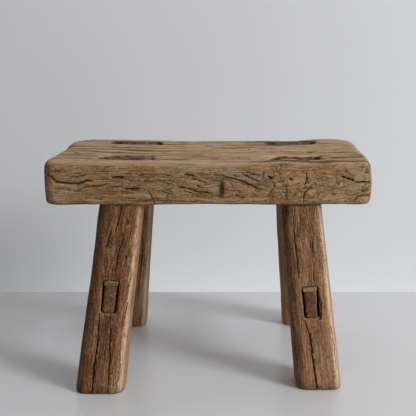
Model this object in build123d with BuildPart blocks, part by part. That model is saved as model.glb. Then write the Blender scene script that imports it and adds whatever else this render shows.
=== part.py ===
"""Rustic four-legged wooden milking stool, made the way a village joiner makes one, with no glue, nail or screw.

A thick plank seat has four slanted through mortises. Each splayed leg ends in a shouldered tenon that enters
its mortise from below. The mortise flares towards the seat's top, and a wedge driven down at each end of the
tenon locks it. On each side a flat stretcher runs from the front leg to the rear leg. Its tenons go right
through the legs, and a wedge driven in above each tenon locks it.

Millimetres. +X is the sitter's right along the plank, -Y is the front and +Z is up. The origin lies on the
floor under the middle of the stool, and the four feet stand on Z = 0.
"""

from build123d import *
import math
import os

# Driving dimensions of the seat plank
SEAT_HEIGHT = 279.5          # floor to the unworn top of the plank
SEAT_THICKNESS = 55.5
SEAT_FRONT, SEAT_REAR = -94.0, 114.0
SEAT_MIDDLE = 9.0            # where the bend in each sawn end lies, between front and rear
LEFT_END_FRONT, LEFT_END_MIDDLE, LEFT_END_REAR = -205.2, -193.5, -195.0
RIGHT_END_FRONT, RIGHT_END_MIDDLE, RIGHT_END_REAR = 201.5, 203.65, 203.0
FRONT_CORNER_RADIUS, LEFT_REAR_RADIUS, RIGHT_REAR_RADIUS = 13.0, 20.0, 24.0
END_BEND_RADIUS = 80.0
TOP_EDGE_RADIUS, BOTTOM_EDGE_RADIUS = 8.0, 4.5
DISH_DEPTH, DISH_HALF_LENGTH = 2.6, 160.0   # the top is worn hollow by use

# Legs: their section's depth along Y and corner radius, at the foot and at the head under the seat
FOOT_DEPTH, FOOT_CORNER = 47.0, 15.0
HEAD_DEPTH, HEAD_CORNER = 43.0, 13.0
FOOT_ARRIS = 2.0             # small chamfer round the sole
LEG_OVERRUN = 30.0           # extra length at each end, cut off flat afterwards

# Leg tenons and the seat's mortises
TENON_DEPTH = 21.0
TENON_RECESS = 4.0           # the tenon's end below the unworn seat top
MORTISE_SIDE_GAP = 0.4       # on each face of the tenon
UNDERSIDE_GAP_SHARE = 0.1    # a wedge's gap at the seat's underside, as a share of the gap at the top
TENON_WEDGE_RECESS = 9.0     # the wedge's head below the unworn seat top
TENON_WEDGE_LENGTH = 38.0
TENON_WEDGE_DEPTH = 18.0

# Stretchers, their tenons and the wedges above them
STRETCHER_THICKNESS = 15.0
STRETCHER_HEIGHT = 41.0
STRETCHER_MORTISE_WIDTH = 19.5
WEDGE_OUTER, WEDGE_INNER = 6.3, 1.6     # height of the wedge's space at the leg's outer and inner face
WEDGE_WIDTH = 17.5
WEDGE_PROUD = 1.0            # how far the wedge's head stands out of the leg
STRETCHER_TENON_RECESS = 0.8 # the tenon's end below the leg's outer face
JOINT_CLEARANCE = 0.05       # between faces that bear on each other

# Each leg: where its axis crosses the seat's top plane, and where it meets the floor
LEG_AXES = {
    "front_left": ((-102.0, -50.0), (-134.0, -128.6)),
    "front_right": ((110.5, -50.0), (137.5, -117.0)),
    "rear_left": ((-97.0, 80.0), (-121.5, 125.0)),
    "rear_right": ((117.0, 78.0), (140.5, 129.0)),
}
# Each leg's width, at the head and at the foot
LEG_WIDTHS = {
    "front_left": (54.0, 59.0),
    "front_right": (51.5, 55.5),
    "rear_left": (54.0, 57.0),
    "rear_right": (54.0, 57.0),
}
# Each seat joint: the tenon's width, and the gaps for the wedges at its left and right end, at the top
SEAT_JOINTS = {
    "front_left": (52.0, 8.0, 6.5),
    "front_right": (46.0, 7.0, 4.0),
    "rear_left": (52.0, 10.0, 6.0),
    "rear_right": (52.0, 12.0, 3.5),
}
# Each stretcher: the height of its tenons' middle at the front and at the rear leg, and their own height
STRETCHERS = {"left": (110.5, 106.5, 33.0), "right": (102.5, 102.5, 32.0)}
WEDGE_ENDS = {"left": -1, "right": 1}   # the two ends of a seat tenon, along the leg's local x

UNDERSIDE = SEAT_HEIGHT - SEAT_THICKNESS


def leg_points(leg):
    """The points where a leg's axis crosses the seat's top plane and the floor."""
    (top_x, top_y), (foot_x, foot_y) = LEG_AXES[leg]
    return Vector(top_x, top_y, SEAT_HEIGHT), Vector(foot_x, foot_y, 0)


def axis_point(leg, height):
    """The point of a leg's axis at a height above the floor."""
    top, foot = leg_points(leg)
    return foot + (top - foot) * (height / SEAT_HEIGHT)


def leg_plane(leg, height):
    """The plane across a leg at a height: local z runs up the leg, and local x is the leg's width."""
    top, foot = leg_points(leg)
    along = (top - foot).normalized()
    width = (Vector(1, 0, 0) - along * along.X).normalized()
    return Plane(origin=axis_point(leg, height), x_dir=width, z_dir=along)


def outward(leg):
    """+1 for a front leg and -1 for a rear leg: the way out of the leg along the stretcher's local z."""
    return 1 if leg.startswith("front") else -1


def stretcher_end(leg):
    """The point where a stretcher's middle line meets a leg's axis."""
    row, side = leg.split("_")
    front_height, rear_height, _ = STRETCHERS[side]
    return axis_point(leg, front_height if row == "front" else rear_height)


def stretcher_plane(side):
    """The plane across a stretcher, at its front leg: local z runs to the front, local y runs up the legs."""
    front, rear = stretcher_end(f"front_{side}"), stretcher_end(f"rear_{side}")
    along = (front - rear).normalized()
    front_top, front_foot = leg_points(f"front_{side}")
    rear_top, rear_foot = leg_points(f"rear_{side}")
    up = ((front_top - front_foot).normalized() + (rear_top - rear_foot).normalized()).normalized()
    up = (up - along * up.dot(along)).normalized()
    return Plane(origin=front, x_dir=up.cross(along), z_dir=along)


def stretcher_side_plane(leg):
    """The upright plane along a stretcher where it passes through a leg.

    Local x points out of the leg along the stretcher and local y points up.
    """
    across = stretcher_plane(leg.split("_")[1])
    return Plane(
        origin=stretcher_end(leg),
        x_dir=across.z_dir * outward(leg),
        z_dir=-across.x_dir * outward(leg),
    )


def half_depth_at(height):
    """Half of a leg's depth at a height, from the taper between foot and head."""
    share = height / UNDERSIDE
    return (FOOT_DEPTH + (HEAD_DEPTH - FOOT_DEPTH) * share) / 2


def leg_face_plane(leg, proud):
    """The plane of a leg's outer face where the stretcher comes out, moved out by a distance."""
    centre = stretcher_end(leg)
    normal = -leg_plane(leg, centre.Z).y_dir * outward(leg)
    return Plane(origin=centre + normal * (half_depth_at(centre.Z) + proud), z_dir=normal)


def mortise_outline(half_height, reach, grow):
    """Corners of a leg's mortise seen from the side, with a roof that slopes down inwards for the wedge."""
    roof_slope = (WEDGE_OUTER - WEDGE_INNER) / FOOT_DEPTH
    roof_middle = half_height + (WEDGE_OUTER + WEDGE_INNER) / 2
    return [
        (-reach, -half_height - grow),
        (reach, -half_height - grow),
        (reach, roof_middle + roof_slope * reach),
        (-reach, roof_middle - roof_slope * reach),
    ]


def wedge_outline(half_height, inner_reach, outer_reach):
    """Corners of a stretcher wedge seen from the side, between the tenon's top and the mortise's roof."""
    roof_slope = (WEDGE_OUTER - WEDGE_INNER) / FOOT_DEPTH
    roof_middle = half_height + (WEDGE_OUTER + WEDGE_INNER) / 2 - JOINT_CLEARANCE
    return [
        (-inner_reach, half_height + JOINT_CLEARANCE),
        (outer_reach, half_height + JOINT_CLEARANCE),
        (outer_reach, roof_middle + roof_slope * outer_reach),
        (-inner_reach, roof_middle - roof_slope * inner_reach),
    ]


def gap_reach(leg, end, level):
    """How far a seat mortise reaches from the leg's axis at one end, at a level below the seat's top."""
    width, *gaps = SEAT_JOINTS[leg]
    gap = gaps[0] if end == "left" else gaps[1]
    return width / 2 + gap * (1 + (1 - UNDERSIDE_GAP_SHARE) * level / SEAT_THICKNESS)


def seat_mortise_outline(leg):
    """Corners of a seat mortise in the leg's own width and height, longer at the top than below."""
    low, high = -SEAT_THICKNESS - LEG_OVERRUN, LEG_OVERRUN
    return [
        (-gap_reach(leg, "left", low), low),
        (gap_reach(leg, "right", low), low),
        (gap_reach(leg, "right", high), high),
        (-gap_reach(leg, "left", high), high),
    ]


def tenon_wedge_outline(leg, end):
    """Corners of the wedge between one end of a leg's tenon and the flared end of its seat mortise."""
    high, low = -TENON_WEDGE_RECESS, -TENON_WEDGE_RECESS - TENON_WEDGE_LENGTH
    way = WEDGE_ENDS[end]
    near = way * (SEAT_JOINTS[leg][0] / 2 + JOINT_CLEARANCE)
    far_low = way * (gap_reach(leg, end, low) - JOINT_CLEARANCE)
    far_high = way * (gap_reach(leg, end, high) - JOINT_CLEARANCE)
    return [(near, low), (far_low, low), (far_high, high), (near, high)]


def leg_side_plane(leg):
    """The plane of a leg's width and height through its axis, with its origin on the seat's top plane."""
    across = leg_plane(leg, SEAT_HEIGHT)
    return Plane(origin=across.origin, x_dir=across.x_dir, z_dir=across.x_dir.cross(across.z_dir))


def make_seat():
    """The plank: worn ends, rounded arrises, a shallow hollow in the top, and four slanted mortises."""
    with BuildPart() as seat:
        with BuildSketch(Plane.XY.offset(UNDERSIDE)) as outline:
            Polygon(
                (LEFT_END_FRONT, SEAT_FRONT),
                (RIGHT_END_FRONT, SEAT_FRONT),
                (RIGHT_END_MIDDLE, SEAT_MIDDLE),
                (RIGHT_END_REAR, SEAT_REAR),
                (LEFT_END_REAR, SEAT_REAR),
                (LEFT_END_MIDDLE, SEAT_MIDDLE),
                align=None,
            )
            fillet(outline.vertices().group_by(Axis.Y)[0], radius=FRONT_CORNER_RADIUS)
            fillet(outline.vertices().filter_by(is_end_bend), radius=END_BEND_RADIUS)
            fillet(rear_corner(outline, 0), radius=LEFT_REAR_RADIUS)
            fillet(rear_corner(outline, -1), radius=RIGHT_REAR_RADIUS)
        extrude(amount=SEAT_THICKNESS)
        dish_radius = (DISH_HALF_LENGTH**2 + DISH_DEPTH**2) / (2 * DISH_DEPTH)
        with BuildSketch(Plane.XZ):
            with Locations((0, SEAT_HEIGHT - DISH_DEPTH + dish_radius)):
                Circle(dish_radius)
        extrude(amount=2 * SEAT_REAR, both=True, mode=Mode.SUBTRACT)
        fillet(seat.faces().sort_by(Axis.Z)[0].edges(), radius=BOTTOM_EDGE_RADIUS)
        rim = [e for e in seat.edges() if e.center().Z > SEAT_HEIGHT - TOP_EDGE_RADIUS and not crosses_top(e)]
        fillet(rim, radius=TOP_EDGE_RADIUS)
        for leg in LEG_AXES:
            with BuildSketch(leg_side_plane(leg)):
                Polygon(*seat_mortise_outline(leg), align=None)
            extrude(amount=TENON_DEPTH / 2 + MORTISE_SIDE_GAP, both=True, mode=Mode.SUBTRACT)
    return seat.part


def is_end_bend(vertex):
    """True for the blunt corner in the middle of each end of the plank."""
    return abs(vertex.Y - SEAT_MIDDLE) < 1


def rear_corner(outline, which):
    """The rear corner of the plank's outline at the left (0) or at the right (-1), if it is still sharp."""
    return outline.vertices().filter_by(lambda v: abs(v.Y - SEAT_REAR) < 1e-6).sort_by(Axis.X)[which]


def crosses_top(edge):
    """True for the two lines across the plank where the hollow begins, which stay sharp."""
    start, end = edge.position_at(0), edge.position_at(1)
    return abs(start.X - end.X) < 1 and abs(abs(start.X) - DISH_HALF_LENGTH) < 1


def make_leg(leg):
    """A tapered, round-cornered leg with a shouldered tenon above and a mortise for the stretcher."""
    tenon_height = STRETCHERS[leg.split("_")[1]][-1]
    head_width, foot_width = LEG_WIDTHS[leg]
    taper = (head_width - foot_width) / UNDERSIDE
    depth_taper = (HEAD_DEPTH - FOOT_DEPTH) / UNDERSIDE
    corner_taper = (HEAD_CORNER - FOOT_CORNER) / UNDERSIDE
    with BuildPart() as body:
        for height in (-LEG_OVERRUN, UNDERSIDE + LEG_OVERRUN):
            with BuildSketch(leg_plane(leg, height)):
                RectangleRounded(
                    foot_width + taper * height,
                    FOOT_DEPTH + depth_taper * height,
                    FOOT_CORNER + corner_taper * height,
                )
        loft(ruled=True)
        split(bisect_by=Plane.XY.offset(UNDERSIDE - JOINT_CLEARANCE), keep=Keep.BOTTOM)
        split(bisect_by=Plane.XY, keep=Keep.TOP)
        chamfer(body.faces().sort_by(Axis.Z)[0].edges(), length=FOOT_ARRIS)
        with BuildSketch(leg_plane(leg, UNDERSIDE - LEG_OVERRUN)):
            Rectangle(SEAT_JOINTS[leg][0], TENON_DEPTH)
        extrude(amount=SEAT_THICKNESS + 2 * LEG_OVERRUN)
        split(bisect_by=Plane.XY.offset(SEAT_HEIGHT - TENON_RECESS), keep=Keep.BOTTOM)
        with BuildSketch(stretcher_side_plane(leg)):
            Polygon(*mortise_outline(tenon_height / 2, FOOT_DEPTH, JOINT_CLEARANCE), align=None)
        extrude(amount=STRETCHER_MORTISE_WIDTH / 2, both=True, mode=Mode.SUBTRACT)
    return body.part


def make_stretcher(side):
    """A flat board between the legs, with shoulders above and below its two through tenons."""
    tenon_height = STRETCHERS[side][-1]
    across = stretcher_plane(side)
    span = (stretcher_end(f"front_{side}") - stretcher_end(f"rear_{side}")).length
    with BuildPart() as board:
        with BuildSketch(across.offset(FOOT_DEPTH)):
            Rectangle(STRETCHER_THICKNESS, tenon_height)
        extrude(amount=-span - 2 * FOOT_DEPTH)
        with BuildSketch(across):
            Rectangle(STRETCHER_THICKNESS, STRETCHER_HEIGHT)
        extrude(amount=-span)
        for leg in (f"front_{side}", f"rear_{side}"):
            split(bisect_by=leg_face_plane(leg, -STRETCHER_TENON_RECESS), keep=Keep.BOTTOM)
            shoulder = shoulder_cutter(leg, tenon_height)
            add(shoulder, mode=Mode.SUBTRACT)
        chamfer(board.edges().filter_by(lambda e: is_body_arris(e, across)), length=1.5)
    return board.part


def shoulder_cutter(leg, tenon_height):
    """The space of a leg outside its stretcher's tenon, which trims the board to its slanted shoulders."""
    section = leg_plane(leg, stretcher_end(leg).Z)
    with BuildPart() as cutter:
        with BuildSketch(section.offset(-STRETCHER_HEIGHT)):
            with Locations((0, -outward(leg) * FOOT_DEPTH)):
                Rectangle(3 * FOOT_DEPTH, 3 * FOOT_DEPTH + 2 * JOINT_CLEARANCE)
        extrude(amount=2 * STRETCHER_HEIGHT)
        with BuildSketch(stretcher_side_plane(leg)):
            Rectangle(8 * FOOT_DEPTH, tenon_height)
        extrude(amount=2 * FOOT_DEPTH, both=True, mode=Mode.SUBTRACT)
    return cutter.part


def is_body_arris(edge, across):
    """True for a long edge of the stretcher's deeper middle part."""
    middle = across.to_local_coords(edge.center())
    return edge.length > STRETCHER_HEIGHT and abs(abs(middle.Y) - STRETCHER_HEIGHT / 2) < 0.5


def make_stretcher_wedge(leg):
    """The wedge driven in from outside, above a stretcher's tenon."""
    tenon_height = STRETCHERS[leg.split("_")[1]][-1]
    with BuildPart() as wedge:
        with BuildSketch(stretcher_side_plane(leg)):
            Polygon(*wedge_outline(tenon_height / 2, FOOT_DEPTH / 3, FOOT_DEPTH), align=None)
        extrude(amount=WEDGE_WIDTH / 2, both=True)
        split(bisect_by=leg_face_plane(leg, WEDGE_PROUD), keep=Keep.BOTTOM)
    return wedge.part


def make_tenon_wedge(leg, end):
    """The wedge driven down into the seat at one end of a leg's tenon."""
    with BuildPart() as wedge:
        with BuildSketch(leg_side_plane(leg)):
            Polygon(*tenon_wedge_outline(leg, end), align=None)
        extrude(amount=TENON_WEDGE_DEPTH / 2, both=True)
    return wedge.part


def save(part, label):
    """Writes one finished piece as its own STEP file."""
    part.label = label
    export_step(part, f"parts/{label}.step")


os.makedirs("parts", exist_ok=True)
save(make_seat(), "seat_plank")
for leg_name in LEG_AXES:
    save(make_leg(leg_name), f"leg_{leg_name}")
    save(make_stretcher_wedge(leg_name), f"stretcher_wedge_{leg_name}")
    for end_name in WEDGE_ENDS:
        save(make_tenon_wedge(leg_name, end_name), f"tenon_wedge_{leg_name}_{end_name}")
for side_name in STRETCHERS:
    save(make_stretcher(side_name), f"stretcher_{side_name}")

for leg_name in LEG_AXES:
    top_point, foot_point = leg_points(leg_name)
    lean = math.degrees(math.acos((top_point - foot_point).normalized().Z))
    print(f"leg_{leg_name} leans {lean:.1f} degrees from upright")
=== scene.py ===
"""An old hand-hewn milking stool of worn, cracked wood, joined by through tenons and wedges.

Every CAD node is replaced by a detailed copy of itself. The copy is remeshed, its arrises are worn round,
its faces get the unevenness of hand tools, and its cracks, knots and worm holes are carved into the mesh.
A procedural wood material follows each piece's own grain direction.
"""

import math

import bmesh
import bpy
import numpy as np
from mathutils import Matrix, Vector


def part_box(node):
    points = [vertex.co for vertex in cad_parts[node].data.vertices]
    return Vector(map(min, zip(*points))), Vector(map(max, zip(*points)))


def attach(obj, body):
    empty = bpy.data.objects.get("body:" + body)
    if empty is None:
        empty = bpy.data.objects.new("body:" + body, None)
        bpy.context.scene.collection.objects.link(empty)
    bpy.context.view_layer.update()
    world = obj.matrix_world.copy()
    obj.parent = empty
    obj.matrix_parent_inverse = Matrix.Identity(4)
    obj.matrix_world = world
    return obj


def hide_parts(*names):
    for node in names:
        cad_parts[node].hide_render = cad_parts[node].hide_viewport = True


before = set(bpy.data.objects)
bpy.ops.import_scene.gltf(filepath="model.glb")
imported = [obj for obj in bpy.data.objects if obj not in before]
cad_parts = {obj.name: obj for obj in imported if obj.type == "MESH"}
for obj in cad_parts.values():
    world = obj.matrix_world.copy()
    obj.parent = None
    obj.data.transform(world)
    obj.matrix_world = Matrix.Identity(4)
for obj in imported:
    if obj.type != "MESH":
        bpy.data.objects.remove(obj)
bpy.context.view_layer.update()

MM = 0.001
SEAT = "seat_plank"
LEGS = ("front_left", "front_right", "rear_left", "rear_right")

# Remeshing: the size of one mesh cell on each kind of piece, in mm
SEAT_CELL, LEG_CELL, STRETCHER_CELL, WEDGE_CELL = 2.1, 1.5, 1.4, 0.7
CRACK_MARGIN = 1.3      # how far round a crack the mesh is refined, in mm
REFINE_ROUNDS = 2       # each round halves the cells there
WANDER = 0.55           # how far a crack strays from its drawn route, in mm
WANDER_CELL = 8.0       # and over what length
PULL = 0.5              # how far each round of wearing moves a vertex towards its neighbours' middle
SEAT_ROUNDING = 12      # rounds of wearing at the seat's arrises
PIECE_ROUNDING = 4      # and at those of every other piece

# Faces of a piece in its own axes: along the grain (0), across it (1) and through the depth (2)
FRONT, REAR = (1, -1), (1, 1)
TOP, UNDER = (2, 1), (2, -1)
LEFT_END, RIGHT_END = (0, -1), (0, 1)
LEG_FRONT, LEG_BACK = (2, -1), (2, 1)
LEG_LEFT, LEG_RIGHT = (1, -1), (1, 1)

# Cracks: face, points on that face in mm (the two axes that lie in it), width and depth in mm.
# On the seat the front face has x and z, the top has x and y, and the ends have y and z.
SEAT_CRACKS = [
    (
        FRONT,
        [(-198, 262), (-192, 259), (-187, 253), (-178, 252), (-160, 252), (-149, 255), (-142, 255)],
        1.5, 5.0,
    ),
    (FRONT, [(-173, 261), (-163, 260), (-149, 263)], 0.9, 2.5),
    (FRONT, [(-166, 242), (-151, 247), (-138, 248), (-125, 251)], 0.9, 2.5),
    (FRONT, [(-120, 259), (-110, 260), (-104, 259)], 1.2, 4.0),
    (FRONT, [(-115, 248), (-105, 248)], 1.0, 2.5),
    (FRONT, [(-105, 245), (-85, 245)], 1.6, 3.0),
    (FRONT, [(-98, 255), (-90, 255)], 0.9, 2.0),
    (FRONT, [(-87, 262), (-79, 262)], 1.0, 2.0),
    (FRONT, [(-79, 255), (-69, 254)], 0.9, 2.0),
    (FRONT, [(-70, 236), (-67, 228), (-66, 221)], 0.9, 2.5),
    (FRONT, [(-61, 255), (-51, 255), (-39, 253)], 0.9, 2.0),
    (FRONT, [(-56, 263), (-43, 260)], 0.9, 2.0),
    (FRONT, [(-53, 229), (-49, 240)], 0.7, 1.5),
    (FRONT, [(-75, 243), (-66, 227)], 0.7, 1.5),
    (FRONT, [(-30, 263), (-19, 262)], 1.4, 4.0),
    (FRONT, [(-39, 247), (-31, 246), (-24, 245), (-19, 243), (-12, 241), (-4, 241), (3, 238)], 1.2, 4.0),
    (FRONT, [(-22, 258), (-3, 253)], 0.9, 2.0),
    (FRONT, [(1, 258), (17, 254)], 0.9, 2.0),
    (FRONT, [(17, 261), (29, 258), (38, 256), (47, 252), (52, 250), (60, 246)], 1.2, 4.0),
    (FRONT, [(41, 265), (50, 259), (63, 254)], 0.9, 2.5),
    (FRONT, [(28, 252), (32, 243)], 0.8, 1.5),
    (FRONT, [(35, 243), (42, 240)], 0.8, 1.5),
    (FRONT, [(73, 261), (79, 258)], 1.5, 4.0),
    (FRONT, [(68, 266), (66, 262), (65, 256)], 0.8, 2.0),
    (FRONT, [(82, 254), (79, 246), (74, 237)], 0.8, 2.0),
    (FRONT, [(92, 255), (91, 248), (90, 241)], 0.7, 1.5),
    (FRONT, [(96, 252), (96, 242), (95, 231)], 0.8, 2.0),
    (FRONT, [(120, 265), (120, 256), (118, 248)], 0.9, 2.5),
    (FRONT, [(127, 249), (118, 239), (117, 227)], 0.9, 2.5),
    (FRONT, [(162, 261), (170, 258), (177, 256)], 1.4, 4.5),
    (FRONT, [(180, 253), (190, 254), (202, 253)], 1.3, 4.0),
    (FRONT, [(186, 243), (202, 243)], 1.1, 4.0),
    (FRONT, [(182, 235), (190, 236), (201, 236)], 1.3, 4.0),
    (FRONT, [(178, 229), (184, 235)], 0.8, 2.0),
    (TOP, [(1, -48), (20, -47), (38, -41)], 3.2, 3.0),
    (TOP, [(-114, -15), (-93, -20), (-70, -27)], 2.8, 3.0),
    (TOP, [(-143, 42), (-124, 37), (-106, 31)], 2.8, 3.0),
    (TOP, [(58, -24), (70, -24)], 2.8, 3.0),
    (TOP, [(75, 4), (90, 1), (107, -3)], 2.8, 3.0),
    (TOP, [(125, -13), (144, -12)], 2.8, 3.0),
    (TOP, [(-60, 60), (-20, 52), (30, 58)], 2.5, 3.0),
    (RIGHT_END, [(-60, 236), (-20, 241), (22, 238)], 1.6, 5.0),
    (RIGHT_END, [(-40, 262), (10, 259), (70, 263)], 1.4, 4.0),
    (RIGHT_END, [(40, 250), (95, 246)], 1.3, 3.5),
    (LEFT_END, [(-80, 252), (-30, 256), (15, 251)], 1.5, 4.0),
    (LEFT_END, [(-20, 236), (60, 240), (98, 238)], 1.4, 4.0),
]
# Knots, worm holes and pits: face, centre in mm, half width, half height, depth in mm, darkness (painted
# shade in the deep holes, a knot's stain on the shallow marks)
SEAT_PITS = [
    (FRONT, (16, 244), 4.8, 12.5, 1.8, 0.88),
    (FRONT, (-13, 249), 2.0, 1.3, 3.0, 0.95),
    (FRONT, (101, 257), 2.0, 1.9, 3.5, 0.95),
    (FRONT, (177, 256), 2.2, 1.8, 4.0, 0.95),
    (FRONT, (159, 251), 1.3, 1.3, 2.5, 0.95),
    (FRONT, (141, 263), 4.5, 3.0, 0.6, 0.35),
    (TOP, (-172, -25), 3.0, 3.5, 2.5, 0.95),
    (TOP, (54, 20), 2.0, 3.0, 2.0, 0.95),
]
# On a leg the first number runs up from the foot and the second across the leg from its axis
LEG_CRACKS = {
    "front_left": [
        (LEG_FRONT, [(230, 1), (212, 0), (193, -3)], 0.8, 3.0),
        (LEG_FRONT, [(197, -7), (173, -12)], 0.9, 3.5),
        (LEG_FRONT, [(188, 8), (175, 5), (154, 3), (140, 4)], 0.8, 3.0),
        (LEG_FRONT, [(201, 18), (191, 15)], 0.7, 2.0),
        (LEG_FRONT, [(147, 25), (127, 20)], 0.8, 3.0),
        (LEG_FRONT, [(109, 23), (88, 20)], 0.7, 2.5),
        (LEG_FRONT, [(91, -10), (49, -9), (0, -9), (-12, -9)], 1.1, 6.0),
        (LEG_FRONT, [(130, -7.2), (112, -7.8), (97, -8.2)], 3.2, 11.0),
        (LEG_FRONT, [(95, 3), (60, 6), (37, 9), (0, 10), (-12, 10)], 0.8, 4.0),
    ],
    "front_right": [
        (LEG_FRONT, [(226, -13), (187, -13), (134, -13)], 0.8, 3.5),
        (LEG_FRONT, [(81, -10), (58, -6), (29, -5), (0, -4), (-12, -4)], 1.1, 6.0),
        (LEG_FRONT, [(120, 7.4), (101, 7.9), (82, 8.4)], 4.4, 12.0),
        (LEG_FRONT, [(81, 19), (63, 22), (45, 23), (17, 23)], 0.7, 3.0),
        (LEG_FRONT, [(187, 8), (159, 7)], 0.8, 2.5),
        (LEG_FRONT, [(143, 6), (128, 6)], 0.7, 2.0),
    ],
    "rear_left": [
        (LEG_FRONT, [(160, 14), (120, 16), (60, 12)], 0.7, 3.0),
        (LEG_BACK, [(210, -8), (150, -4), (128, -7)], 0.9, 4.0),
        (LEG_BACK, [(70, 6), (30, 4), (-10, 7)], 1.0, 5.0),
    ],
    "rear_right": [
        (LEG_FRONT, [(170, -14), (110, -16), (50, -13)], 0.8, 3.0),
        (LEG_BACK, [(220, 9), (180, 5), (140, 8)], 0.8, 4.0),
        (LEG_BACK, [(80, -6), (40, -9), (-10, -7)], 1.0, 5.0),
    ],
}
# Short cracks strewn along the grain: face, lowest and highest corner on it, how many, the longest,
# the drift (how far each climbs over its length) and the usual width
SEAT_STREWN = [
    (FRONT, (-195, 230), (-60, 268), 18, 22, 0.02, 0.8),
    (FRONT, (-60, 236), (75, 268), 32, 18, -0.24, 0.95),
    (FRONT, (75, 230), (190, 266), 12, 10, 0.35, 0.7),
    (TOP, (-175, -80), (185, 100), 84, 75, 0.01, 1.9),
    (REAR, (-180, 230), (180, 268), 44, 34, 0.03, 1.0),
    (UNDER, (-180, -85), (180, 100), 24, 60, 0.02, 1.8),
]
LEG_STREWN = [
    (LEG_FRONT, (5, -20), (200, 22), 9, 45, 0.02, 0.65),
    (LEG_BACK, (5, -20), (200, 22), 9, 45, 0.02, 0.65),
    (LEG_LEFT, (5, -12), (200, 12), 6, 45, 0.02, 0.65),
    (LEG_RIGHT, (5, -12), (200, 12), 6, 45, 0.02, 0.65),
]
DEEPEST_STREWN = 2.5    # mm
DEPTH_TO_WIDTH = 1.6    # of a strewn crack
# How much paler (or darker, when negative) than their wood's middle tone the legs and their wedges are
LEG_TONES = {"front_left": -0.18, "front_right": 0.01, "rear_left": 0.08, "rear_right": 0.28}
WEDGE_TONES = {"front_left": -0.20, "front_right": 0.25, "rear_left": 0.0, "rear_right": 0.0}
# Knots that the grain flows round: the two coordinates on the broad face, and the radius in mm
SEAT_KNOTS = [((101, 252), 9.0), ((141, 258), 10.0), ((16, 244), 9.0), ((60, 236), 8.0), ((120, 244), 11.0)]
LEG_KNOTS = {
    "front_left": [((207, 11), 9.0), ((170, -6), 12.0), ((60, 10), 8.0)],
    "front_right": [((100, 18), 12.0), ((190, -2), 8.0)],
    "rear_left": [((120, 12), 9.0)],
    "rear_right": [((60, 10), 9.0)],
}
# Places on the seat worn away (or standing proud, with a negative depth): centre, reach and depth in mm
SEAT_WEAR = [
    ((-193, 108, 279), 14.0, 3.5),
    ((-190, 30, 280), 12.0, 1.6),
    ((203, 60, 272), 20.0, -2.0),
    ((203, 20, 275), 9.0, 1.4),
    ((202, -92, 262), 10.0, 2.0),
    ((-203, -93, 232), 10.0, 2.2),
    ((120, 113, 279), 16.0, 1.2),
    ((-90, 113, 280), 30.0, -1.2),
    ((160, 100, 280), 30.0, -1.0),
    ((-150, -94, 280), 22.0, 1.2),
    ((-60, -94, 280), 26.0, -0.8),
    ((20, -94, 280), 30.0, 1.0),
    ((95, -94, 280), 20.0, -0.8),
    ((135, -94, 280), 26.0, 2.2),
    ((185, -92, 280), 28.0, 2.6),
    ((-200, 104, 262), 16.0, 2.5),
    ((203, -80, 252), 22.0, -1.6),
]
# Pits on the legs, in the same form: darkness is painted shade in the deep holes and a knot's stain on the
# shallow ones
LEG_PITS = {
    "front_left": [
        (LEG_FRONT, (164, 14), 2.6, 1.2, 3.0, 0.95),
        (LEG_FRONT, (207, 11), 4.0, 2.4, 1.0, 0.55),
    ],
    "front_right": [(LEG_FRONT, (88, 4), 9.0, 7.0, 1.0, 0.0)],
    "rear_left": [(LEG_BACK, (120, 12), 4.0, 3.0, 1.5, 0.95)],
    "rear_right": [(LEG_BACK, (60, 10), 5.0, 3.0, 1.5, 0.95)],
}


# ---------- noise and carving ----------

def hashed(cells, seed):
    """A repeatable number from -1 to 1 for each whole-number lattice point."""
    mixed = (cells[:, 0] * 73856093) ^ (cells[:, 1] * 19349663) ^ (cells[:, 2] * 83492791)
    mixed = mixed ^ (seed * 2654435761)
    mixed = ((mixed ^ (mixed >> 13)) * 1274126177) & 0xFFFFFFFF
    mixed = mixed ^ (mixed >> 15)
    return (mixed & 0xFFFF) / 32767.5 - 1


def noise(points, seed):
    """Smooth noise from -1 to 1, with one lattice cell per unit of the points."""
    cells = np.floor(points).astype(np.int64)
    part = points - cells
    ease = part * part * (3 - 2 * part)
    total = np.zeros(len(points))
    for corner in np.ndindex(2, 2, 2):
        weight = np.prod(np.where(corner, ease, 1 - ease), axis=1)
        total += weight * hashed(cells + corner, seed)
    return total


def smoothstep(low, high, value):
    """0 below low, 1 above high, and an S-shaped rise between."""
    share = np.clip((value - low) / (high - low), 0, 1)
    return share * share * (3 - 2 * share)


def on_face(points, normals, face):
    """The points' two coordinates on a face, and how squarely each point looks out of that face."""
    axis, sign = face
    flat = np.delete(points, axis, axis=1)
    facing = smoothstep(0.25, 0.6, normals[:, axis] * sign)
    return flat, facing


def crack_distance(flat, route):
    """Distance of each flat point to a route, and how far along the route it lies from 0 to 1."""
    route = np.array(route, float)
    steps = np.diff(route, axis=0)
    lengths = np.linalg.norm(steps, axis=1)
    starts = np.concatenate([[0], np.cumsum(lengths)])
    best = np.full(len(flat), np.inf)
    share = np.zeros(len(flat))
    for start, step, length, before in zip(route, steps, lengths, starts):
        along = np.clip((flat - start) @ step / length**2, 0, 1)
        gap = np.linalg.norm(flat - start - along[:, None] * step, axis=1)
        nearer = gap < best
        best[nearer] = gap[nearer]
        share[nearer] = (before + along[nearer] * length) / starts[-1]
    return best, share


def wandered(flat):
    """Flat points moved a little, so that a crack drawn with straight runs wanders as a real one does."""
    lifted = np.column_stack([flat / WANDER_CELL, np.zeros(len(flat))])
    return flat + WANDER * np.column_stack([noise(lifted, 1), noise(lifted, 2)])


def by_face(points, normals, marks):
    """The marks of each face, with that face's flat points, their facing and the points' own numbers."""
    for face in sorted({mark[0] for mark in marks}):
        flat, facing = on_face(points, normals, face)
        seen = np.flatnonzero(facing > 0)
        yield [mark for mark in marks if mark[0] == face], wandered(flat[seen]), facing[seen], seen


def within(flat, low, high):
    """The numbers of the flat points inside a rectangle."""
    return np.flatnonzero(((flat > low) & (flat < high)).all(axis=1))


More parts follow.
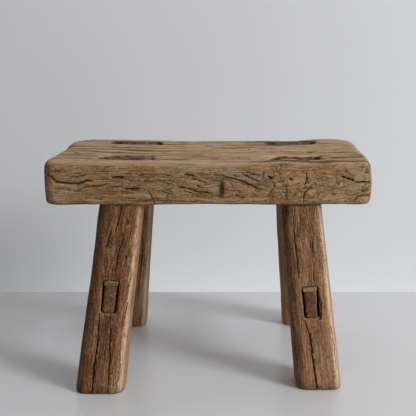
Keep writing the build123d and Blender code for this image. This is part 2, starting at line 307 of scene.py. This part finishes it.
def crack_fields(points, normals, cracks, pits):
    """Carved depth in mm and darkness from 0 to 1 at each point, from a piece's cracks and pits: the
    darkness is painted shade in the cracks and deep holes, and a knot's stain on the shallow pits.
    """
    depth = np.zeros(len(points))
    dark = np.zeros(len(points))
    for marks, flat, facing, seen in by_face(points, normals, cracks):
        for _, route, width, deep in marks:
            here = within(flat, np.min(route, axis=0) - 2 * width, np.max(route, axis=0) + 2 * width)
            gap, share = crack_distance(flat[here], route)
            taper = 0.35 + 0.65 * np.sqrt(np.clip(4 * share * (1 - share), 0, 1))
            half = width / 2 * taper
            target = seen[here]
            groove = deep * taper * facing[here] * np.clip(1.5 - gap / half, 0, 1)
            # painted shade along the bottom of the crack
            shade = min(1.0, 0.30 + 0.48 * width) * facing[here]
            shade = shade * (1 - smoothstep(half * 0.6, half * 1.6, gap))
            depth[target] = np.maximum(depth[target], groove)
            dark[target] = np.maximum(dark[target], shade)
    for marks, flat, facing, seen in by_face(points, normals, pits):
        for _, centre, half_width, half_height, deep, darkness in marks:
            gap = np.linalg.norm((flat - centre) / (half_width, half_height), axis=1)
            hollow = deep * facing * (1 - smoothstep(0.2, 1.1, gap))
            depth[seen] = np.maximum(depth[seen], hollow)
            # the pit's darkness: painted shade in a deep hole, a knot's stain on a shallow one
            dark[seen] = np.maximum(dark[seen], darkness * facing * (1 - smoothstep(0.3, 1.25, gap)))
    return depth, dark


def strewn(areas, seed):
    """Short thin cracks along the grain at repeatable places, in the form of the drawn cracks."""
    chance = np.random.default_rng(seed)
    cracks = []
    for face, low, high, count, longest, drift, wide in areas:
        for start in chance.uniform(low, high, (count, 2)):
            length = longest * chance.uniform(0.35, 1.0)
            fall = length * (drift + chance.uniform(-0.06, 0.06))
            bend = chance.uniform(-0.8, 0.8)
            middle = start + (0.5 * length, 0.5 * fall + bend)
            width = wide * chance.uniform(0.6, 1.1)
            depth = min(DEPTH_TO_WIDTH * width, DEEPEST_STREWN)
            cracks.append((face, [start, middle, start + (length, fall)], width, depth))
    return cracks


def flowing(points, knots, broad):
    """Grain coordinates that bend round knots, so that the streaks flow past them."""
    flow = points.copy()
    for centre, radius in knots:
        across = points[:, broad] - centre[1]
        reach = ((points[:, 0] - centre[0]) / (2.2 * radius)) ** 2 + (across / radius) ** 2
        flow[:, broad] -= 0.75 * across * np.exp(-reach)
    return flow


def wear_depth(points, places):
    """Extra depth in mm at worn places."""
    depth = np.zeros(len(points))
    for centre, reach, deep in places:
        gap = np.linalg.norm(points - centre, axis=1) / reach
        depth += deep * np.exp(-gap**2)
    return depth


def near_cracks(points, normals, cracks, pits):
    """True at the points within the refined margin of a crack or pit."""
    near = np.zeros(len(points), bool)
    for marks, flat, _, seen in by_face(points, normals, cracks):
        for _, route, width, _ in marks:
            margin = width / 2 + CRACK_MARGIN
            here = within(flat, np.min(route, axis=0) - margin, np.max(route, axis=0) + margin)
            near[seen[here]] |= crack_distance(flat[here], route)[0] < margin
    for marks, flat, _, seen in by_face(points, normals, pits):
        for _, centre, half_width, half_height, _, _ in marks:
            reach = (flat - centre) / (half_width + CRACK_MARGIN, half_height + CRACK_MARGIN)
            near[seen] |= np.linalg.norm(reach, axis=1) < 1
    return near


# ---------- meshes ----------

def remeshed(node, cell):
    """A new mesh of even cells over a CAD node's shape."""
    copy = bpy.data.objects.new("remesh_source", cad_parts[node].data.copy())
    bpy.context.scene.collection.objects.link(copy)
    welded = bmesh.new()
    welded.from_mesh(copy.data)
    bmesh.ops.remove_doubles(welded, verts=welded.verts, dist=0.01 * MM)
    welded.to_mesh(copy.data)
    welded.free()
    modifier = copy.modifiers.new("cells", "REMESH")
    modifier.mode = "VOXEL"
    modifier.voxel_size = cell * MM
    mesh = bpy.data.meshes.new_from_object(copy.evaluated_get(bpy.context.evaluated_depsgraph_get()))
    mesh.materials.clear()
    bpy.data.objects.remove(copy)
    return mesh


def local_points(mesh, axes):
    """Vertex positions in mm and normals of a mesh in a piece's own axes."""
    origin, *directions = axes
    turn = np.array([list(direction) for direction in directions]).T
    points = np.empty(len(mesh.vertices) * 3)
    mesh.vertices.foreach_get("co", points)
    normals = np.empty(len(mesh.vertices) * 3)
    mesh.vertices.foreach_get("normal", normals)
    return (points.reshape(-1, 3) - np.array(origin)) @ turn / MM, normals.reshape(-1, 3) @ turn


def refine(mesh, axes, cracks, pits, coarse):
    """Halves the cells near every crack and pit, round after round, but once only on the coarse faces."""
    for number in range(REFINE_ROUNDS):
        if number > 0:
            cracks = [crack for crack in cracks if crack[0] not in coarse]
        near = near_cracks(*local_points(mesh, axes), cracks, pits)
        work = bmesh.new()
        work.from_mesh(mesh)
        work.verts.ensure_lookup_table()
        edges = [e for e in work.edges if near[e.verts[0].index] and near[e.verts[1].index]]
        bmesh.ops.subdivide_edges(work, edges=edges, cuts=1, use_grid_fill=True)
        work.to_mesh(mesh)
        work.free()


def relax(mesh, rounds):
    """Wears the arrises round by pulling each vertex towards its neighbours."""
    count = len(mesh.vertices)
    edges = np.empty(len(mesh.edges) * 2, int)
    mesh.edges.foreach_get("vertices", edges)
    first, second = edges.reshape(-1, 2).T
    points = np.empty(count * 3)
    mesh.vertices.foreach_get("co", points)
    points = points.reshape(-1, 3)
    degree = np.bincount(edges, minlength=count)[:, None]
    for _ in range(rounds):
        total = np.zeros_like(points)
        for axis in range(3):
            total[:, axis] += np.bincount(first, points[second, axis], count)
            total[:, axis] += np.bincount(second, points[first, axis], count)
        points += PULL * (total / degree - points)
    mesh.vertices.foreach_set("co", points.ravel())
    mesh.update()


def hewn(points, seed, rough):
    """Unevenness in mm of a hand-worked, weathered surface whose grain runs along the first axis."""
    broad = noise(points / (70, 38, 38), seed)
    tool = noise(points / (26, 15, 15), seed + 1)
    ridge = noise(points / (45, 4.5, 4.5), seed + 2)
    fine = noise(points / (12, 2.4, 2.4), seed + 3)
    return rough * (0.9 * broad + 0.45 * tool + 0.35 * ridge + 0.2 * fine)


def store(mesh, name, kind, values):
    """Keeps a value or vector at each vertex, for the material to read."""
    field = "value" if kind == "FLOAT" else "vector"
    kept = mesh.attributes.new(name, kind, "POINT")
    kept.data.foreach_set(field, np.asarray(values, np.float32).ravel())


def arris(points, normals, lit_axis):
    """How pale the outer arrises are, from 0 to 1: a little on all of them, worn pale, and fully on those
    that face along the lit axis, as a painted highlight.
    """
    size = np.abs(normals)
    pairs = np.stack([size[:, 0] * size[:, 1], size[:, 1] * size[:, 2], size[:, 0] * size[:, 2]])
    low, high = points[:, 1:].min(0), points[:, 1:].max(0)
    outer = np.abs(2 * points[:, 1:] - low - high) / (high - low)
    # painted highlight: arrises that face along the lit axis are paler
    rubbed_and_lit = 0.15 + 0.85 * smoothstep(0.0, 0.6, normals[:, lit_axis])
    return smoothstep(0.6, 1.0, 2 * pairs.max(0)) * smoothstep(0.62, 0.80, outer.min(1)) * rubbed_and_lit


def make_piece(
    node, axes, cell, seed, rough, material, cracks=(), pits=(), knots=(),
    broad=1, places=(), shade=None, fields=(), rounding=PIECE_ROUNDING, coarse=(),
):
    """The detailed piece that stands for one CAD node.

    broad is the axis that the knots spread along, and the arrises that face along it get a painted
    highlight on top of their worn colour. shade gives extra depth and darkness, mostly painted shade, and
    fields are more values for the material, each a name and a function.
    """
    mesh = remeshed(node, cell)
    relax(mesh, rounding)
    refine(mesh, axes, cracks, pits, coarse)
    points, normals = local_points(mesh, axes)
    depth, dark = crack_fields(points, normals, cracks, pits)
    if shade:
        extra_depth, extra_dark = shade(points, normals)
        depth, dark = depth + extra_depth, np.maximum(dark, extra_dark)
    lift = hewn(points, seed, rough) - depth - wear_depth(points, places)
    turn = np.array([list(direction) for direction in axes[1:]])
    moved = (points + normals * lift[:, None]) @ turn * MM + np.array(axes[0])
    mesh.vertices.foreach_set("co", moved.ravel())
    store(mesh, "grain", "FLOAT_VECTOR", flowing(points, knots, broad) / 1000 + seed * 0.37)
    # darkness: painted shade in cracks, holes and joints, and dark knot stains
    store(mesh, "dark", "FLOAT", dark)
    # worn arrises, with a painted highlight on those that face along broad
    store(mesh, "wear_and_highlight", "FLOAT", arris(points, normals, broad))
    for name, field in fields:
        store(mesh, name, "FLOAT", field(points, normals))
    store(mesh, "end_grain", "FLOAT", smoothstep(0.55, 0.9, np.abs(normals[:, 0])))
    store(mesh, "upward", "FLOAT", smoothstep(0.3, 0.9, (normals @ turn)[:, 2]))
    mesh.materials.append(material)
    mesh.shade_smooth()
    piece = bpy.data.objects.new("wood_" + node, mesh)
    bpy.context.scene.collection.objects.link(piece)
    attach(piece, "root")
    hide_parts(node)


# ---------- material ----------

SWAY = 0.009                            # how far the grain sways, in metres
LINE_COLOUR = (0.030, 0.018, 0.010)     # painted shade at the bottom of a drying check or a crackle line
CRACK_COLOUR = (0.008, 0.005, 0.003)    # the darkest colour: painted shade in cracks, holes and joints, also dark knot stains and the darker feet

def add_node(tree, kind, inputs=(), **settings):
    """A node with its settings, and its inputs linked to sockets or set to values."""
    new = tree.nodes.new(kind)
    for name, value in settings.items():
        setattr(new, name, value)
    for key, value in dict(inputs).items():
        if isinstance(value, bpy.types.NodeSocket):
            tree.links.new(value, new.inputs[key])
        else:
            new.inputs[key].default_value = value
    return new


def stretched(tree, grain, cell_mm):
    """Grain coordinates scaled so that one noise cell measures cell_mm along and across the grain."""
    along, across = cell_mm
    scale = (1000 / along, 1000 / across, 1000 / across)
    return add_node(tree, "ShaderNodeMapping", {"Vector": grain, "Scale": scale}).outputs[0]


def wood_noise(tree, grain, cell_mm, detail=3.0, distortion=0.0):
    """Noise from 0 to 1 stretched along the grain."""
    vector = stretched(tree, grain, cell_mm)
    inputs = {"Vector": vector, "Scale": 1.0, "Detail": detail, "Distortion": distortion}
    return add_node(tree, "ShaderNodeTexNoise", inputs).outputs[0]


def ramp(tree, factor, stops):
    """A colour ramp: stops are (place, colour), with a colour as three numbers or one grey."""
    new = add_node(tree, "ShaderNodeValToRGB", {"Fac": factor})
    elements = new.color_ramp.elements
    while len(elements) < len(stops):
        elements.new(0.5)
    for element, (place, colour) in zip(elements, stops):
        rgb = colour if isinstance(colour, tuple) else (colour,) * 3
        element.position = place
        element.color = (*rgb, 1)
    return new.outputs[0]


def mixed(tree, factor, first, second, blend="MIX"):
    """Two colours mixed by a factor."""
    new = add_node(tree, "ShaderNodeMix", data_type="RGBA", blend_type=blend, clamp_factor=True)
    for socket, value in ((new.inputs[0], factor), (new.inputs[6], first), (new.inputs[7], second)):
        if isinstance(value, bpy.types.NodeSocket):
            tree.links.new(value, socket)
        elif socket.type == "RGBA":
            socket.default_value = (*value, 1)
        else:
            socket.default_value = value
    return new.outputs[2]


def weighted(tree, parts):
    """One tone from 0 to 1 from several noises, each with its weight, centred on 0.5."""
    total = 0.5 - sum(weight for _, weight in parts) / 2
    for value, weight in parts:
        inputs = {0: value, 1: weight, 2: total}
        total = add_node(tree, "ShaderNodeMath", inputs, operation="MULTIPLY_ADD").outputs[0]
    return total


def calculated(tree, operation, first, second):
    """One arithmetic step on two values."""
    return add_node(tree, "ShaderNodeMath", {0: first, 1: second}, operation=operation).outputs[0]


def attribute(tree, name, output="Fac"):
    """A value stored at the mesh's vertices."""
    return add_node(tree, "ShaderNodeAttribute", attribute_name=name).outputs[output]


def crackled(tree, grain):
    """Thin lines, about 8 mm apart, that run together like dried mud: 1 on a line."""
    bend = add_node(tree, "ShaderNodeTexNoise", {"Vector": grain, "Scale": 160.0, "Detail": 3.0}).outputs[1]
    shift = add_node(tree, "ShaderNodeVectorMath", {0: bend, "Scale": 0.012}, operation="SCALE").outputs[0]
    place = add_node(tree, "ShaderNodeVectorMath", {0: grain, 1: shift}, operation="ADD").outputs[0]
    inputs = {"Vector": place, "Scale": 120.0}
    edge = add_node(tree, "ShaderNodeTexVoronoi", inputs, feature="DISTANCE_TO_EDGE").outputs["Distance"]
    line = ramp(tree, edge, [(0.015, 1.0), (0.055, 0.0)])
    presence = ramp(tree, wood_noise(tree, grain, (14, 14), 2.0), [(0.42, 0.0), (0.58, 1.0)])
    return calculated(tree, "MULTIPLY", line, presence)


def bent(tree, grain):
    """Grain coordinates that sway a little to each side, as growth rings do."""
    sway = add_node(tree, "ShaderNodeTexNoise", {"Vector": stretched(tree, grain, (70, 30)), "Scale": 1.0})
    centred = {0: sway.outputs[1], 1: (0.5, 0.5, 0.5)}
    offset = add_node(tree, "ShaderNodeVectorMath", centred, operation="SUBTRACT").outputs[0]
    across = {0: offset, 1: (0.0, SWAY, SWAY)}
    offset = add_node(tree, "ShaderNodeVectorMath", across, operation="MULTIPLY").outputs[0]
    return add_node(tree, "ShaderNodeVectorMath", {0: grain, 1: offset}, operation="ADD").outputs[0]


def wood_patterns(tree, grain):
    """The noises that make up the wood, from broad bands to single pores, each with its cell in mm."""
    wavy = bent(tree, grain)
    return {
        "bands": wood_noise(tree, wavy, (130, 8.0), 3.0, 0.4),
        "figure": wood_noise(tree, wavy, (90, 5.0), 4.0, 0.8),
        "streak": wood_noise(tree, wavy, (20, 1.2), 5.0),
        "checks": wood_noise(tree, wavy, (45, 3.4), 2.0, 0.3),
        "pores": wood_noise(tree, wavy, (14, 0.8), 3.0),
        "hue": wood_noise(tree, grain, (55, 22), 3.0),
        "mottle": wood_noise(tree, grain, (30, 13), 4.0),
        "speck": wood_noise(tree, grain, (3.0, 1.6), 3.0),
        "end_speck": wood_noise(tree, grain, (1.4, 1.4), 2.0),
    }


def patina(tree, noises, deep, middle, pale, bleached, worn):
    """The wood's colour without its cracks: streaks, bleached top, warm patches, worn arrises with a
    painted highlight on their lit side.
    """
    parts = [("figure", 0.8), ("streak", 1.5), ("mottle", 0.9), ("speck", 1.2)]
    tone = weighted(tree, [(noises[name], weight) for name, weight in parts])
    tone = calculated(tree, "ADD", tone, attribute(tree, "tone"))
    colour = ramp(tree, tone, [(0.15, deep), (0.48, middle), (0.85, pale)])

    top_parts = [("bands", 3.2), ("streak", 1.0), ("mottle", 0.9)]
    top_tone = weighted(tree, [(noises[name], weight) for name, weight in top_parts])
    palest = tuple(1.3 * c for c in bleached)
    weathered = ramp(tree, top_tone, [(0.05, deep), (0.22, middle), (0.46, bleached), (0.9, palest)])
    upward = calculated(tree, "MULTIPLY", attribute(tree, "upward"), 0.85)
    colour = mixed(tree, upward, colour, weathered)

    tint = ramp(tree, noises["hue"], [(0.36, (0.94, 0.98, 1.0)), (0.62, (1.0, 0.88, 0.70))])
    colour = mixed(tree, 1.0, colour, tint, "MULTIPLY")
    # worn arrises, with a painted highlight on those that face the light
    rubbing = ramp(tree, tone, [(0.35, 0.15), (0.6, 0.8)])
    rubbed_and_lit = calculated(tree, "MULTIPLY", attribute(tree, "wear_and_highlight"), rubbing)
    colour = mixed(tree, rubbed_and_lit, colour, worn)
    pore_shade = ramp(tree, noises["pores"], [(0.36, 0.30), (0.46, 1.0)])
    colour = mixed(tree, 0.45, colour, pore_shade, "MULTIPLY")
    end_shade = ramp(tree, noises["end_speck"], [(0.35, 0.35), (0.65, 1.0)])
    end_colour = mixed(tree, 0.4, colour, end_shade, "MULTIPLY")
    return mixed(tree, attribute(tree, "end_grain"), colour, end_colour)


def fine_lines(tree, grain, noises, checked):
    """Hair-thin drying checks in patches, and the crackle where a piece has it: 1 on a line, where shade is
    painted.
    """
    checks = ramp(tree, noises["checks"], [(0.480, 0.0), (0.496, 1.0), (0.504, 1.0), (0.520, 0.0)])
    patch = ramp(tree, noises["mottle"], [(0.47, 0.0), (0.58, checked)])
    checks = calculated(tree, "MULTIPLY", checks, patch)
    crackle = calculated(tree, "MULTIPLY", crackled(tree, grain), attribute(tree, "crackle"))
    return calculated(tree, "MAXIMUM", checks, crackle)


def wood_material(name, deep, middle, pale, bleached, worn, roughness, checked):
    """Old dry wood in five colours, with its roughness and how dark the painted shade in its drying checks
    is; the worn colour is also the painted highlight on arrises that face the light.
    """
    material = bpy.data.materials.new(name)
    material.use_nodes = True
    tree = material.node_tree
    shader = tree.nodes["Principled BSDF"]
    grain = attribute(tree, "grain", "Vector")
    noises = wood_patterns(tree, grain)
    lines = fine_lines(tree, grain, noises, checked)
    colour = patina(tree, noises, deep, middle, pale, bleached, worn)
    # painted shade in the fine checks and crackle lines
    colour = mixed(tree, lines, colour, LINE_COLOUR)
    # painted shade in cracks, holes and joints, and the dark stain of knots
    colour = mixed(tree, attribute(tree, "dark"), colour, CRACK_COLOUR)
    tree.links.new(colour, shader.inputs["Base Color"])

    relief = calculated(tree, "ADD", noises["streak"], calculated(tree, "MULTIPLY", noises["speck"], 0.7))
    relief = calculated(tree, "SUBTRACT", relief, calculated(tree, "MULTIPLY", lines, 1.5))
    bump = add_node(tree, "ShaderNodeBump", {"Height": relief, "Strength": 0.9, "Distance": 0.8 * MM})
    tree.links.new(bump.outputs[0], shader.inputs["Normal"])
    gloss = ramp(tree, noises["mottle"], [(0.3, roughness - 0.08), (0.7, roughness + 0.1)])
    gloss = calculated(tree, "MAXIMUM", gloss, attribute(tree, "dark"))
    tree.links.new(gloss, shader.inputs["Roughness"])
    shader.inputs["Specular IOR Level"].default_value = 0.22
    return material


def plain_material(name, colour, roughness):
    """The studio's paint, a little uneven, and clear from behind so that the wall hides nothing."""
    material = bpy.data.materials.new(name)
    material.use_nodes = True
    tree = material.node_tree
    shader = tree.nodes["Principled BSDF"]
    place = add_node(tree, "ShaderNodeTexCoord").outputs["Object"]
    cloud = add_node(tree, "ShaderNodeTexNoise", {"Vector": place, "Scale": 3.0, "Detail": 2.0}).outputs[0]
    tone = ramp(tree, cloud, [(0.3, tuple(0.985 * c for c in colour)), (0.7, colour)])
    tree.links.new(tone, shader.inputs["Base Color"])
    shader.inputs["Roughness"].default_value = roughness
    behind = add_node(tree, "ShaderNodeNewGeometry").outputs["Backfacing"]
    clear = add_node(tree, "ShaderNodeBsdfTransparent").outputs[0]
    sided = add_node(tree, "ShaderNodeMixShader", {0: behind, 1: shader.outputs[0], 2: clear}).outputs[0]
    tree.links.new(sided, tree.nodes["Material Output"].inputs["Surface"])
    return material


# ---------- the stool ----------

def leg_axes(leg):
    """A leg's own axes: the middle of its foot, up the leg, across its width and through its depth."""
    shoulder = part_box(SEAT)[0].z
    points = np.array([v.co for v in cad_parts["leg_" + leg].data.vertices])
    foot = points[points[:, 2] < 0.1 * MM]
    head = points[np.abs(points[:, 2] - shoulder) < 0.2 * MM]
    foot_middle = Vector((foot.min(0) + foot.max(0)) / 2)
    head_middle = Vector((head.min(0) + head.max(0)) / 2)
    along = (head_middle - foot_middle).normalized()
    across = (Vector((1, 0, 0)) - along * along.x).normalized()
    return foot_middle, along, across, along.cross(across)


seat_axes = (Vector(), Vector((1, 0, 0)), Vector((0, 1, 0)), Vector((0, 0, 1)))
upright_axes = (Vector(), Vector((0, 0, 1)), Vector((1, 0, 0)), Vector((0, 1, 0)))
lengthwise_axes = (Vector(), Vector((0, 1, 0)), Vector((-1, 0, 0)), Vector((0, 0, 1)))

seat_wood = wood_material(
    "seat_wood",
    deep=(0.120, 0.064, 0.027),
    middle=(0.265, 0.164, 0.088),
    pale=(0.410, 0.272, 0.162),
    bleached=(0.475, 0.340, 0.228),
    worn=(0.305, 0.200, 0.110),
    roughness=0.82,
    checked=0.6,
)
leg_wood = wood_material(
    "leg_wood",
    deep=(0.080, 0.030, 0.010),
    middle=(0.200, 0.098, 0.044),
    pale=(0.345, 0.200, 0.108),
    bleached=(0.30, 0.21, 0.14),
    # the worn colour also paints the highlight on the legs' arrises that face the light
    worn=(0.560, 0.410, 0.290),
    roughness=0.62,
    checked=0.4,
)
dark_wood = wood_material(
    "stretcher_wood",
    deep=(0.065, 0.024, 0.009),
    middle=(0.145, 0.064, 0.027),
    pale=(0.260, 0.155, 0.090),
    bleached=(0.20, 0.15, 0.10),
    worn=(0.230, 0.150, 0.095),
    roughness=0.80,
    checked=0.8,
)
wedge_wood = wood_material(
    "wedge_wood",
    deep=(0.120, 0.068, 0.036),
    middle=(0.240, 0.150, 0.088),
    pale=(0.360, 0.250, 0.160),
    bleached=(0.30, 0.22, 0.15),
    worn=(0.380, 0.270, 0.180),
    roughness=0.80,
    checked=0.5,
)


SPLIT_STRETCH = 3.0         # a mortise is chewed this much further along the grain than across it
WEDGE_INSET = 1.0           # how far inside the wedges' outer ends a mortise's painted shade starts, in mm
FRONT_LEDGE = 3.5           # and how far behind their front face
CHEWED_DEEP = (30, 20)      # the rim is worn from the first to the second of these below the top, in mm
CHEWED_REACH = 3.4          # how far from the mortise its rim is worn, in mm
TENON_PAINTED_SHADE = (16, 8)       # a tenon's painted shade fades in from the first to the second of these below its end, in mm
STRETCHER_MORTISE = (70, 150)       # a leg's mortise lies between these heights up the leg, in mm
MORTISE_HALF_WIDTH = 11     # no wall of it is further from the leg's axis, in mm
MORTISE_HALF_DEPTH = 19.5   # inside the leg's front and back faces, in mm
LEG_LENGTH, LEG_HALF_WIDTH = 230, 25        # mm, up to the seat
SEAT_HALF_LENGTH = 200      # mm
FRONT_ZONE = (-90, -80)     # the seat's front is all in front of the first of these, in mm
CRACKLE_START = (45, 85)    # along the seat the crackle fades in between these, in mm


def mortise_shade(points, normals):
    """Chewed rims of the four seat mortises, carved as depth in mm, and painted shade on their walls as
    darkness.
    """
    depth = np.zeros(len(points))
    dark = np.zeros(len(points))
    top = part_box(SEAT)[1].z / MM
    for leg in LEGS:
        ends = [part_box(f"tenon_wedge_{leg}_{end}") for end in ("left", "right")]
        low = np.array(ends[0][0])[:2] / MM + (WEDGE_INSET, FRONT_LEDGE)
        high = np.array(ends[1][1])[:2] / MM - (WEDGE_INSET, 0.0)
        beyond = np.maximum(np.maximum(low - points[:, :2], points[:, :2] - high), 0) / (SPLIT_STRETCH, 1)
        outside = np.linalg.norm(beyond, axis=1)
        ragged = noise(points / (8, 3, 3), 71) * 0.6 + noise(points / (20, 6, 6), 72) * 0.8
        near_top = smoothstep(top - CHEWED_DEEP[0], top - CHEWED_DEEP[1], points[:, 2])
        depth += near_top * np.clip(1.2 + 3.4 * ragged, 0, 3.6) * np.exp(-(outside / CHEWED_REACH) ** 2)
        # painted shade on the mortise's walls, over their top 20 to 30 mm
        inner = 1 - smoothstep(0.2, np.maximum(0.8, 2.8 + 5.0 * ragged), outside)
        dark = np.maximum(dark, near_top * inner * (0.86 + 0.25 * ragged))
    return depth, np.clip(dark, 0, 1)


def leg_shade(points, normals):
    """A leg's raised tenon end, painted shade on the tenon's top inside the seat's mortise and on the walls
    of the stretcher mortise, and a darker foot.
    """
    up, across, through = points.T
    head = points[np.abs(normals[:, 0]) < 0.3][:, 0].max()
    near_head = smoothstep(head - TENON_PAINTED_SHADE[0], head - TENON_PAINTED_SHADE[1], up)
    # painted shade on the tenon's top, where it sits down in the seat's mortise
    tenon_end = near_head * (0.55 + 0.45 * noise(points / 5, 81))
    # darker at the bottom of the foot
    sole = 0.6 * (1 - smoothstep(-3, 7, up)) * (0.7 + 0.5 * noise(points / 7, 82))
    # painted shade on the walls of the stretcher's mortise
    walls = (np.abs(across) < MORTISE_HALF_WIDTH) & (np.abs(through) < MORTISE_HALF_DEPTH)
    walls = walls & (up > STRETCHER_MORTISE[0]) & (up < STRETCHER_MORTISE[1])
    hollow = -smoothstep(0.6, 0.9, normals[:, 0]) * near_head * (2.0 + 1.8 * noise(points / (9, 6, 5), 84))
    return hollow, np.clip(np.maximum(np.maximum(tenon_end, sole), walls * 0.9), 0, 1)


def leg_tone_and_light(base):
    """A leg's tone: paler towards the foot and towards its right, with painted light on the faces that look
    right, towards the light.
    """
    def tone(points, normals):
        rise = 0.10 - 0.16 * points[:, 0] / LEG_LENGTH
        across = 0.10 * np.clip(points[:, 1] / LEG_HALF_WIDTH, -1, 1)
        # painted light: the faces that look right, towards the key light, are paler
        return base + rise + across + 0.30 * smoothstep(0.55, 0.95, normals[:, 1])
    return tone


def even_tone(base):
    """The same tone all over a small piece."""
    return lambda points, normals: np.full(len(points), base)


def seat_tone(points, normals):
    """The seat is a little paler towards its right end."""
    return 0.05 * points[:, 0] / SEAT_HALF_LENGTH


def seat_crackle(points, normals):
    """Fine crackle on the right third of the seat's front."""
    front = 1 - smoothstep(*FRONT_ZONE, points[:, 1])
    return front * smoothstep(*CRACKLE_START, points[:, 0] + 15 * noise(points / 15, 91)) * 0.8


def wedge_shade(points, normals):
    """Painted shade all over a hidden seat wedge, down in its mortise."""
    # painted shade: nearly full darkness everywhere
    return np.zeros(len(points)), 0.8 + 0.15 * noise(points / 4, 83)


make_piece(
    SEAT, seat_axes, SEAT_CELL, 3, 1.0, seat_wood,
    cracks=SEAT_CRACKS + strewn(SEAT_STREWN, 5), pits=SEAT_PITS,
    knots=SEAT_KNOTS, broad=2, places=SEAT_WEAR, shade=mortise_shade,
    fields=[("tone", seat_tone), ("crackle", seat_crackle)], rounding=SEAT_ROUNDING,
    coarse=(TOP, UNDER, REAR),
)
for number, leg in enumerate(LEGS):
    make_piece(
        "leg_" + leg, leg_axes(leg), LEG_CELL, 11 + number, 0.8, leg_wood,
        cracks=LEG_CRACKS[leg] + strewn(LEG_STREWN, 20 + number), pits=LEG_PITS[leg],
        knots=LEG_KNOTS[leg], shade=leg_shade, fields=[("tone", leg_tone_and_light(LEG_TONES[leg]))],
    )
    make_piece(
        "stretcher_wedge_" + leg, lengthwise_axes, WEDGE_CELL, 31 + number, 0.3, wedge_wood,
        fields=[("tone", even_tone(WEDGE_TONES[leg]))],
    )
    for end in ("left", "right"):
        make_piece(
            f"tenon_wedge_{leg}_{end}", upright_axes, WEDGE_CELL, 41 + number, 0.3,
            wedge_wood, shade=wedge_shade,
        )
for number, side in enumerate(("left", "right")):
    make_piece(
        "stretcher_" + side, lengthwise_axes, STRETCHER_CELL, 21 + number, 0.4, dark_wood
    )


# ---------- studio ----------

# Places and sizes are in metres, and light powers in watts
FLOOR_BACK = 0.285       # the back edge of the surface that the stool stands on
EDGE_RADIUS = 0.006
WALL_PLACE = 0.450       # the wall behind it
STUDIO_REACH = 4.0
CAMERA_PLACE = (-0.0006, -1.2431, 0.4605)
CAMERA_PITCH = 11.773    # degrees below level
LENS = 82.2              # mm
KEY_DIRECTION = Vector((3.0, -2.0, 1.50)).normalized()
KEY_DISTANCE, KEY_SIZE, KEY_POWER = 4.0, 1.45, 130.0
DARK_SIDE, BRIGHT_SIDE = 0.04, 0.74    # the room's own light from the left and from the right
LIGHT_TARGET = Vector((0.0, 0.0, 0.15))
WASH_PLACE = Vector((0.25, 0.33, -0.30))    # a strip hidden behind the floor's edge lights the wall
WASH_TARGET = Vector((0.25, 0.45, 0.05))
WASH_LENGTH, WASH_WIDTH, WASH_POWER = 1.3, 0.12, 1.6
KEY_COLOUR = (0.945, 0.97, 1.0)
WASH_COLOUR = (0.95, 0.98, 1.0)
ROOM_COLOUR = (1.0, 0.965, 0.92)


def sheet(name, rows, material):
    """A surface swept along X from a profile of (y, z) points, which belongs to the studio."""
    vertices = [(x, y, z) for y, z in rows for x in (-STUDIO_REACH, STUDIO_REACH)]
    faces = [(2 * i, 2 * i + 1, 2 * i + 3, 2 * i + 2) for i in range(len(rows) - 1)]
    mesh = bpy.data.meshes.new(name)
    mesh.from_pydata(vertices, [], faces)
    mesh.shade_smooth()
    mesh.materials.append(material)
    piece = bpy.data.objects.new(name, mesh)
    bpy.context.scene.collection.objects.link(piece)


rounding = [
    (FLOOR_BACK - EDGE_RADIUS + EDGE_RADIUS * math.sin(a), EDGE_RADIUS * math.cos(a) - EDGE_RADIUS)
    for a in np.linspace(0, math.pi / 2, 7)
]
sheet(
    "floor",
    [(-STUDIO_REACH, 0.0), *rounding, (FLOOR_BACK, -STUDIO_REACH)],
    plain_material("floor_paint", (0.72, 0.725, 0.74), 0.32),
)
sheet(
    "wall",
    [(WALL_PLACE, -STUDIO_REACH), (WALL_PLACE, STUDIO_REACH)],
    plain_material("wall_paint", (0.625, 0.628, 0.640), 0.9),
)


def area_light(name, place, target, size, power, colour, width=None):
    """A soft light at a place that faces a target: a disc, or a strip where it has a width."""
    lamp = bpy.data.lights.new(name, "AREA")
    lamp.shape = "RECTANGLE" if width else "DISK"
    lamp.size = size
    if width:
        lamp.size_y = width
    lamp.energy = power
    lamp.color = colour
    lamp_object = bpy.data.objects.new(name, lamp)
    lamp_object.location = place
    lamp_object.rotation_euler = (place - target).to_track_quat("Z", "Y").to_euler()
    bpy.context.scene.collection.objects.link(lamp_object)


key_place = LIGHT_TARGET + KEY_DIRECTION * KEY_DISTANCE
area_light("key", key_place, LIGHT_TARGET, KEY_SIZE, KEY_POWER, KEY_COLOUR)
area_light("wall_wash", WASH_PLACE, WASH_TARGET, WASH_LENGTH, WASH_POWER, WASH_COLOUR, WASH_WIDTH)

world = bpy.data.worlds.new("studio")
world.use_nodes = True
sky = world.node_tree
direction = add_node(sky, "ShaderNodeTexCoord").outputs["Generated"]
sideways = add_node(sky, "ShaderNodeSeparateXYZ", {0: direction}).outputs["X"]
strength = add_node(
    sky, "ShaderNodeMapRange",
    {"Value": sideways, "From Min": -1.0, "From Max": 1.0, "To Min": DARK_SIDE, "To Max": BRIGHT_SIDE},
).outputs[0]
sky.nodes["Background"].inputs["Color"].default_value = (*ROOM_COLOUR, 1)
sky.links.new(strength, sky.nodes["Background"].inputs["Strength"])
bpy.context.scene.world = world

camera = bpy.data.cameras.new("camera")
camera.lens = LENS
camera_object = bpy.data.objects.new("camera", camera)
camera_object.location = CAMERA_PLACE
camera_object.rotation_euler = (math.radians(90 - CAMERA_PITCH), 0, 0)
bpy.context.scene.collection.objects.link(camera_object)
bpy.context.scene.camera = camera_object
bpy.context.scene.view_settings.view_transform = "Standard"
